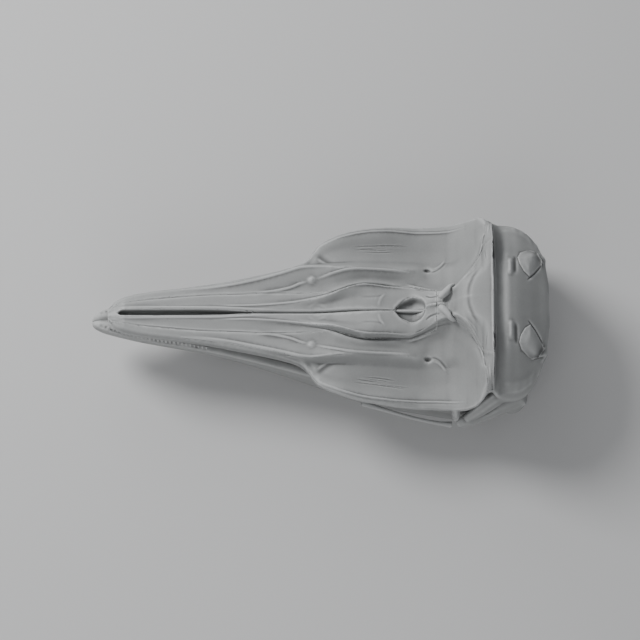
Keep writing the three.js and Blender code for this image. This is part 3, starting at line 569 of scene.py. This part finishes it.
# Teeth, in millimetres: small spades in four rows, set like the solid ones that they stand for.
# PLAIN_LOWER_ROW is the stretch of the solid jaw that is smoothed under the lower teeth.
UPPER_ROW = (-127.5, -65)
LOWER_ROW = (-131.25, -68.5)
PLAIN_LOWER_ROW = (-137, -68.5)
TOOTH_PITCH = 2.5
TOOTH_LENGTH = 3.6
TOOTH_ROOT = 1.6
SMALLEST_TOOTH = 0.72
TOOTH_SIDES = 10
TOOTH_LEAN = 0.35
TOOTH_RISE = 0.12
TOOTH_REACH = 1.9
TOOTH_ZONE = (-0.7, 5)
TOOTH_RELAX = 25
UPPER_INSET = 2.4
LOWER_INSET = 2.2
TOOTH_PROFILE = [
    # (height, half length along the jaw, half thickness)
    (0, 0.62, 0.6), (0.35, 0.6, 0.56), (0.5, 0.7, 0.54), (0.66, 0.84, 0.5), (0.8, 0.86, 0.42),
    (0.92, 0.66, 0.3), (1, 0.2, 0.12),
]
under_edge = curve([(-130.5, -8.4), (-120, -9.6), (-74, -10.8), (-40, -12.6)])
jaw_outer = curve([
    (-141, 1.8), (-139.6, 3.4), (-137, 5.2), (-133, 7.2), (-130, 8.4), (-121, 11.4), (-105, 15.2),
    (-74, 20), (-43, 26.6),
])
jaw_top = curve([
    (-141, -20), (-139.6, -16.8), (-137, -15), (-130, -14.2), (-105, -14.6), (-74, -15.9), (-43, -17.8),
])


def upper_gum(x):
    """Distance from the middle and height of the upper gum line."""
    return edge_width(x) - UPPER_INSET, BEAK_LEVEL / MM + under_edge(x)


def lower_gum(x):
    """Distance from the middle and height of the lower gum line."""
    return jaw_outer(x) - LOWER_INSET, BEAK_LEVEL / MM + jaw_top(x)


# The bones take the shape of one smooth skin over all of them, so that no facet or step is left.
def onto_roof(points, normals, edges):
    """Points near the roof moved up or down onto it, in metres."""
    x, y, z = (points / MM).T
    found = BEAK_LEVEL / MM + roof_height(x, y)
    reach = np.where(x > CREST_X, CROWN_REACH, ROOF_REACH)
    near = 1 - smoothstep(np.abs(z - found) / reach, ROOF_FADE, 1)
    share = near * smoothstep(normals[:, 2], *ROOF_FACING)
    out = np.abs(y) / edge_width(x)
    share *= np.where(x > CREST_X, 1 - smoothstep(out, *CROWN_EDGE), out < ROOF_EDGE)
    share = np.where(x > BACK_FROM[0], blurred(share, edges, BACK_ROUNDS), share)
    moved = points.copy()
    moved[:, 2] += share * (found - z) * MM
    return moved


def without_teeth(points, edges):
    """Points with the plain teeth sunk back into the jaws, to make room for the fine ones."""
    x, y, z = (points / MM).T
    chosen = np.zeros(len(points), bool)
    for (start, end), gum, up in ((UPPER_ROW, upper_gum, -1), (PLAIN_LOWER_ROW, lower_gum, 1)):
        away, level = gum(x)
        above = up * (z - level)
        in_row = (x > start) & (x < end) & (np.abs(np.abs(y) - away) < TOOTH_REACH)
        chosen |= in_row & (above > TOOTH_ZONE[0]) & (above < TOOTH_ZONE[1])
    for _ in range(TOOTH_RELAX):
        points = np.where(chosen[:, None], spread(points, edges, len(points)), points)
    return points


def smooth_skin(name, bones, rounds, shaped):
    """One smooth skin over the bones: its first and last shapes, and how far each face moved."""
    skin = remeshed(copied(name, bones, SKIN_GROW), SKIN_STEP)
    first, _, edges = read_mesh(skin.data)
    write_points(skin.data, smoothed(without_teeth(first, edges), edges, rounds))
    if shaped:
        points, normals, _ = read_mesh(skin.data)
        write_points(skin.data, onto_roof(points, normals, edges))
    points, _, _ = read_mesh(skin.data)
    points = smoothed(points, edges, SETTLE_ROUNDS)
    back = smoothstep(points[:, :1] / MM, *BACK_FROM)
    points = points + back * (smoothed(points, edges, BACK_ROUNDS) - points)
    rear = back * (points[:, 2:] < REAR_TOP) * (np.abs(points[:, 1:2]) > REAR_FROM)
    for _ in range(REAR_ROUNDS):
        points = points + rear * (spread(points, edges, len(points)) - points)
    faces = [tuple(face.vertices) for face in skin.data.polygons]
    before = BVHTree.FromPolygons(first.tolist(), faces)
    after = BVHTree.FromPolygons(points.tolist(), faces)
    moved = points - first
    shifts = np.array([moved[list(face)].mean(axis=0) for face in faces])
    bpy.data.objects.remove(skin)
    return before, after, shifts


def above_roof(points):
    """How far each point lies off the roof, in millimetres."""
    x, y, z = (points / MM).T
    return np.abs(z - BEAK_LEVEL / MM - roof_height(x, y))


def refined(thing, level):
    """The object with its mesh split where the roof's relief needs it."""
    points, normals, _ = read_mesh(thing.data)
    _, need = relief(*(points[:, :2] / MM).T)
    on_roof = (normals[:, 2] > REFINED_FACING) & (above_roof(points) < RELIEF_ZONE[1])
    marked = on_roof & (need >= level)
    mesh = bmesh.new()
    mesh.from_mesh(thing.data)
    edges = [edge for edge in mesh.edges if all(marked[corner.index] for corner in edge.verts)]
    bmesh.ops.subdivide_edges(mesh, edges=edges, cuts=1, use_grid_fill=True)
    mesh.to_mesh(thing.data)
    mesh.free()
    return thing


def fitted(name, skin, step, shaped):
    """A finer copy of a bone whose outside lies on the skin, with the roof's relief."""
    before, after, shifts = skin
    grow = BONE_GROW if shaped else JAW_GROW
    bone = remeshed(copied(name + "_fine", [name], grow), step)
    points, _, edges = read_mesh(bone.data)
    write_points(bone.data, smoothed(without_teeth(points, edges), edges, BONE_ROUNDS))
    if shaped:
        refined(refined(bone, 1), 2)
    points, _, edges = read_mesh(bone.data)
    onto_skin = points.copy()
    facing = np.zeros(len(points))
    depth = np.zeros(len(points))
    back = smoothstep(points[:, 0] / MM, *BACK_EXPOSED)
    for i, point in enumerate(points):
        _, normal, face, distance = before.find_nearest(Vector(point))
        points[i] = point + shifts[face] * (1 - smoothstep(distance, FOLLOW_FULL, FOLLOW_END))
        onto_skin[i] = points[i]
        facing[i] = normal.z
        depth[i] = distance
        if distance < SKIN_REACH:
            onto_skin[i], normal, _, _ = after.find_nearest(Vector(points[i]))
            facing[i] = normal.z
    bare = (depth < EXPOSED * (1 + BACK_EXPOSURE * back)).astype(float)
    bare = np.maximum(bare, blurred(bare, edges, FACING_ROUNDS))[:, None]
    points += bare * (onto_skin - points)
    facing = np.minimum(facing, blurred(facing, edges, FACING_ROUNDS))
    level = smoothstep(facing, *RELIEF_FACING)
    calm = np.maximum(1 - level, back)[:, None]
    points += calm * (smoothed(points, edges, STEEP_ROUNDS) - points)
    if shaped:
        lift, _ = relief(*(points[:, :2] / MM).T)
        lift *= level * (1 - smoothstep(depth, RELIEF_FULL, RELIEF_END))
        lift *= 1 - smoothstep(above_roof(points), *RELIEF_ZONE)
        points[:, 2] += lift * MM
    else:
        lift = np.zeros(len(points))
    write_points(bone.data, points)
    # paints shade into the bone's creases and highlight onto its ridges
    paint_ridge_crease_shade(bone.data, lift)
    return bone


def finish_piece(piece, material, replaced):
    """Smooth shading, the material, the parent body and the hiding of the replaced parts for one piece."""
    piece.data.polygons.foreach_set("use_smooth", [True] * len(piece.data.polygons))
    piece.data.materials.clear()
    piece.data.materials.append(material)
    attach(piece, "root")
    if replaced:
        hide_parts(*replaced)


def paint_ridge_crease_shade(mesh, lift):
    """Stores how far each point stands out, from -1 in a crease to 1 on a ridge: the painted shade and
    painted highlight of the bone's colour.
    """
    points, normals, edges = read_mesh(mesh)
    gaps = np.sum((points[edges[:, 0]] - points[edges[:, 1]]) ** 2, axis=1)
    total = np.bincount(edges[:, 0], weights=gaps, minlength=len(points))
    total += np.bincount(edges[:, 1], weights=gaps, minlength=len(points))
    spacing = total / np.maximum(np.bincount(edges.ravel(), minlength=len(points)), 1)
    rise = np.sum((points - spread(points, edges, len(points))) * normals, axis=1)
    bend = (rise / np.maximum(spacing, SMALLEST_SPACING))[:, None]
    for _ in range(PAINTED_SHADE_ROUNDS):
        bend = PAINTED_SHADE_KEPT * bend + (1 - PAINTED_SHADE_KEPT) * spread(bend, edges, len(points))
    # painted shade in creases and painted highlight on ridges, from the bend and the relief's lift
    tone = np.clip(bend[:, 0] / PAINTED_SHADE_BEND + lift / PAINTED_SHADE_LIFT, -1, 1)
    layer = mesh.attributes.new("relief", "FLOAT", "POINT")
    layer.data.foreach_set("value", tone.astype(np.float32))


def tooth_rings(x, gum, size, up, side):
    """Rings of points round one tooth, from its sunk root to its tip."""
    away, level = gum(x)
    after, _ = gum(x + TOOTH_PITCH)
    turn = math.atan2(after - away, TOOTH_PITCH)
    rings = []
    for height, long, thick in [(-TOOTH_ROOT / TOOTH_LENGTH, 0.6, 0.6)] + TOOTH_PROFILE:
        ring = []
        for k in range(TOOTH_SIDES):
            angle = 2 * math.pi * k / TOOTH_SIDES
            u = long * size * math.cos(angle)
            v = thick * size * math.sin(angle) - TOOTH_LEAN * max(height, 0) ** 2
            across = away + u * math.sin(turn) + v * math.cos(turn)
            along = x + u * math.cos(turn) - v * math.sin(turn)
            high = level + up * height * TOOTH_LENGTH * size
            ring.append((along * MM, side * across * MM, high * MM))
        rings.append(ring)
    return rings


def tooth_row(name, row, gum, up, side):
    """One piece holding a row of teeth, largest in the middle of the row."""
    verts = []
    faces = []
    count = round((row[1] - row[0]) / TOOTH_PITCH)
    for i in range(count):
        share = min(1, TOOTH_RISE + i / (count - 1))
        size = SMALLEST_TOOTH + (1 - SMALLEST_TOOTH) * math.sin(math.pi * share)
        rings = tooth_rings(float(row[0] + (i + 0.5) * TOOTH_PITCH), gum, size, up, side)
        base = len(verts)
        for r, ring in enumerate(rings):
            verts += ring
            for k in range(TOOTH_SIDES):
                j = (k + 1) % TOOTH_SIDES
                a = base + r * TOOTH_SIDES
                if r < len(rings) - 1:
                    faces.append((a + k, a + j, a + TOOTH_SIDES + j, a + TOOTH_SIDES + k))
        faces.append(tuple(base + k for k in reversed(range(TOOTH_SIDES))))
        faces.append(tuple(base + (len(rings) - 1) * TOOTH_SIDES + k for k in range(TOOTH_SIDES)))
    mesh = bpy.data.meshes.new(name)
    mesh.from_pydata([tuple(float(v) for v in point) for point in verts], [], faces)
    outward = bmesh.new()
    outward.from_mesh(mesh)
    bmesh.ops.recalc_face_normals(outward, faces=outward.faces)
    outward.to_mesh(mesh)
    outward.free()
    thing = bpy.data.objects.new(name, mesh)
    bpy.context.collection.objects.link(thing)
    return thing


# Materials: (low, high) of each pattern's strength, and its scale
SPECULAR = 0.35
# painted shade and highlight: the colour's scale from a crease (-1) to a ridge (1)
PAINTED_SHADE_RANGE = (0.5, 1.42)
BLOTCH_SCALE = 38
BLOTCH_SHADES = (0.95, 1.05)
GRAIN_SCALE = 900
GRAIN_SHADES = (0.97, 1.03)
NOISE_RANGE = (0.3, 0.7)
PORE_SCALE = 420
PORE_SIZE = 0.28
PORE_SHARE = 0.35
ROUGH_SCALE = 260
BUMP_STRENGTH = 0.22
BUMP_HEIGHT = 0.35 * MM
FLOOR_TONE = (0.62, 0.62, 0.62, 1)
FLOOR_ROUGHNESS = 0.9


def bone_material(name, tone, roughness):
    """Dry bone: mottled and finely pored, with painted highlight along its ridges and painted shade in its
    creases.
    """
    material = bpy.data.materials.new(name)
    material.use_nodes = True
    nodes = material.node_tree.nodes
    links = material.node_tree.links
    shader = nodes["Principled BSDF"]
    shader.inputs["Roughness"].default_value = roughness
    shader.inputs["Specular IOR Level"].default_value = SPECULAR

    place = nodes.new("ShaderNodeTexCoord")

    def noise(scale, detail):
        found = nodes.new("ShaderNodeTexNoise")
        found.inputs["Scale"].default_value = scale
        found.inputs["Detail"].default_value = detail
        found.inputs["Roughness"].default_value = 0.55
        links.new(place.outputs["Object"], found.inputs["Vector"])
        return found.outputs["Fac"]

    def ranged(value, given, wanted):
        found = nodes.new("ShaderNodeMapRange")
        found.inputs["From Min"].default_value = given[0]
        found.inputs["From Max"].default_value = given[1]
        found.inputs["To Min"].default_value = wanted[0]
        found.inputs["To Max"].default_value = wanted[1]
        links.new(value, found.inputs["Value"])
        return found.outputs["Result"]

    def maths(operation, one, other):
        found = nodes.new("ShaderNodeMath")
        found.operation = operation
        for socket, value in zip(found.inputs, (one, other)):
            if isinstance(value, (int, float)):
                socket.default_value = value
            else:
                links.new(value, socket)
        return found.outputs["Value"]

    # the relief attribute paints shade into creases and highlight onto ridges
    relief = nodes.new("ShaderNodeAttribute")
    relief.attribute_name = "relief"
    shade = ranged(relief.outputs["Fac"], (-1, 1), PAINTED_SHADE_RANGE)
    blotch = ranged(noise(BLOTCH_SCALE, 4), NOISE_RANGE, BLOTCH_SHADES)
    grain = ranged(noise(GRAIN_SCALE, 3), NOISE_RANGE, GRAIN_SHADES)
    factor = maths("MULTIPLY", shade, maths("MULTIPLY", blotch, grain))
    colour = nodes.new("ShaderNodeVectorMath")
    colour.operation = "SCALE"
    colour.inputs[0].default_value = tone
    links.new(factor, colour.inputs["Scale"])
    links.new(colour.outputs["Vector"], shader.inputs["Base Color"])

    pores = nodes.new("ShaderNodeTexVoronoi")
    pores.inputs["Scale"].default_value = PORE_SCALE
    links.new(place.outputs["Object"], pores.inputs["Vector"])
    pits = ranged(pores.outputs["Distance"], (0, PORE_SIZE), (0, 1))
    height = maths("ADD", maths("MULTIPLY", pits, PORE_SHARE), noise(ROUGH_SCALE, 5))
    bump = nodes.new("ShaderNodeBump")
    bump.inputs["Strength"].default_value = BUMP_STRENGTH
    bump.inputs["Distance"].default_value = BUMP_HEIGHT
    links.new(height, bump.inputs["Height"])
    links.new(bump.outputs["Normal"], shader.inputs["Normal"])
    return material


def floor_material():
    material = bpy.data.materials.new("pale_floor")
    material.use_nodes = True
    shader = material.node_tree.nodes["Principled BSDF"]
    shader.inputs["Base Color"].default_value = FLOOR_TONE
    shader.inputs["Roughness"].default_value = FLOOR_ROUGHNESS
    return material


# Camera, floor and lights: the camera looks down from the animal's left, as the photo does
LENS = 200
SENSOR = 36
VIEW_WIDTH = 397 * MM
ELEVATION = math.radians(73)
AIM = Vector((0.3, 0, 40)) * MM
FAR_CLIP = 20
FLOOR_REACH = 3
LIGHTS = [
    # (name, place, size, power)
    ("key", (-0.85, 0.6, 1.0), 0.6, 17),
    ("fill", (-0.2, -1.1, 0.8), 1.2, 5),
    ("back", (-0.3, 1.1, 0.7), 0.9, 2.5),
]
WORLD_TONE = (0.8, 0.82, 0.85, 1)
WORLD_STRENGTH = 0.3


def make_camera():
    data = bpy.data.cameras.new("camera")
    data.lens = LENS
    data.sensor_width = SENSOR
    data.clip_end = FAR_CLIP
    camera = bpy.data.objects.new("camera", data)
    bpy.context.collection.objects.link(camera)
    distance = VIEW_WIDTH * LENS / SENSOR
    camera.location = AIM + distance * Vector((0, -math.cos(ELEVATION), math.sin(ELEVATION)))
    camera.rotation_euler = (math.pi / 2 - ELEVATION, 0, 0)
    bpy.context.scene.camera = camera


def make_light(name, place, size, power):
    data = bpy.data.lights.new(name, "AREA")
    data.shape = "DISK"
    data.size = size
    data.energy = power
    light = bpy.data.objects.new(name, data)
    light.location = place
    light.rotation_euler = (AIM - Vector(place)).to_track_quat("-Z", "Y").to_euler()
    bpy.context.collection.objects.link(light)


def make_stage():
    mesh = bpy.data.meshes.new("floor")
    reach = FLOOR_REACH
    corners = [(-reach, -reach, 0), (reach, -reach, 0), (reach, reach, 0), (-reach, reach, 0)]
    mesh.from_pydata(corners, [], [(0, 1, 2, 3)])
    floor = bpy.data.objects.new("floor", mesh)
    floor.data.materials.append(floor_material())
    bpy.context.collection.objects.link(floor)
    for name, place, size, power in LIGHTS:
        make_light(name, place, size, power)
    world = bpy.data.worlds.new("studio")
    world.use_nodes = True
    sky = world.node_tree.nodes["Background"]
    sky.inputs["Color"].default_value = WORLD_TONE
    sky.inputs["Strength"].default_value = WORLD_STRENGTH
    bpy.context.scene.world = world


make_camera()
make_stage()

smooth_bone = bone_material("smooth_bone", (0.35, 0.356, 0.354), 0.55)
FINISH = {
    "bone": bone_material("bone", (0.33, 0.336, 0.334), 0.62),
    "smooth_bone": smooth_bone,
    "ear_bone": bone_material("ear_bone", (0.3, 0.305, 0.305), 0.5),
    "jaw_bone": bone_material("jaw_bone", (0.33, 0.335, 0.332), 0.6),
}
SLOTS = {part["node"]: part["material_slot"] for part in frame["record"]["subparts"]}

head_skin = smooth_skin("head_skin", HEAD_BONES, HEAD_ROUNDS, True)
jaw_skin = smooth_skin("jaw_skin", JAW_BONES, JAW_ROUNDS, False)
for name in HEAD_BONES:
    finish_piece(fitted(name, head_skin, BONE_STEP, True), FINISH[SLOTS[name]], [name])
for name in JAW_BONES:
    finish_piece(fitted(name, jaw_skin, BONE_STEP, False), FINISH[SLOTS[name]], [name])
for name in LOOSE_BONES:
    piece = remeshed(copied(name + "_fine", [name]), LOOSE_STEP)
    points, _, edges = read_mesh(piece.data)
    write_points(piece.data, smoothed(points, edges, LOOSE_ROUNDS))
    # paints shade into the creases and highlight onto the ridges
    paint_ridge_crease_shade(piece.data, np.zeros(len(points)))
    finish_piece(piece, FINISH[SLOTS[name]], [name])
for side, word in ((1, "right"), (-1, "left")):
    upper = tooth_row("upper_teeth_" + word, UPPER_ROW, upper_gum, -1, side)
    lower = tooth_row("lower_teeth_" + word, LOWER_ROW, lower_gum, 1, side)
    for row in (upper, lower):
        # paints shade into the creases and highlight onto the ridges
        paint_ridge_crease_shade(row.data, np.zeros(len(row.data.vertices)))
        finish_piece(row, smooth_bone, [])
